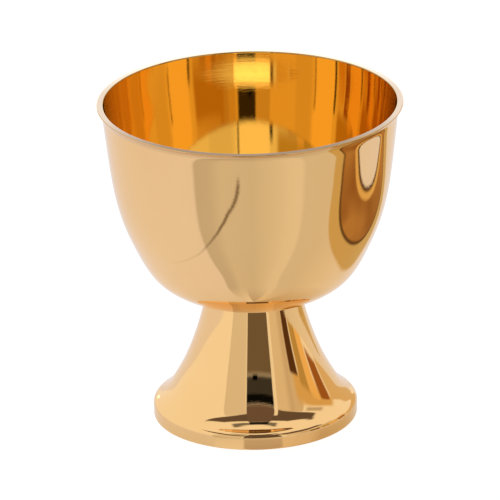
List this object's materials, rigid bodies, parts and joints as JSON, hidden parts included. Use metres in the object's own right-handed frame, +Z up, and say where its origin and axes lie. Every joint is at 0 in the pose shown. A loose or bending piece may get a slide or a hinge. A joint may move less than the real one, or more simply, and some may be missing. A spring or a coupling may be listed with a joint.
{
  "type": "communion chalice",
  "caption": "Small plain gilded communion cup: a spun round bowl with a small lip standing out round the rim, bolted from below to a hollow flared bell foot with a plain vertical band.",
  "frame": {"origin": "centre of the ring the foot stands on, in the plane of the table", "axes": "+Z up along the axis of the cup; X and Y are any two level directions at right angles, because the visible shells are round"},
  "size_m": [0.0816, 0.0816, 0.0892],
  "materials": {
    "gilt_bowl": "mirror-polished gold plate on spun brass",
    "gilt_foot": "mirror-polished gold plate on spun brass",
    "turned_brass": "as turned, fine lathe lines",
    "washer_brass": "stamped, dull",
    "spring_bronze": "phosphor bronze, dull",
    "nut_brass": "turned and drawn hexagon, satin"
  },
  "bodies": {
    "base": {"foot": "gilt_foot", "flat_washer": "washer_brass", "lock_washer": "spring_bronze"},
    "cup": {"bowl": "gilt_bowl", "cup_stud": "turned_brass"},
    "nut": {"hex_nut": "nut_brass"}
  },
  "joints": [
    {"name": "nut_turn", "type": "hinge", "parent": "base", "child": "nut", "pos_m": [0, 0, 0.02505], "axis": [0, 0, -1], "range_deg": [0, 2881]},
    {"name": "cup_lift", "type": "slide", "parent": "base", "child": "cup", "axis": [0, 0, 1], "range_m": [0, 0.01]}
  ],
  "couplings": [
    {"joint": "nut_turn", "follows": "cup_lift", "rad_per_m": 5026.5}
  ]
}
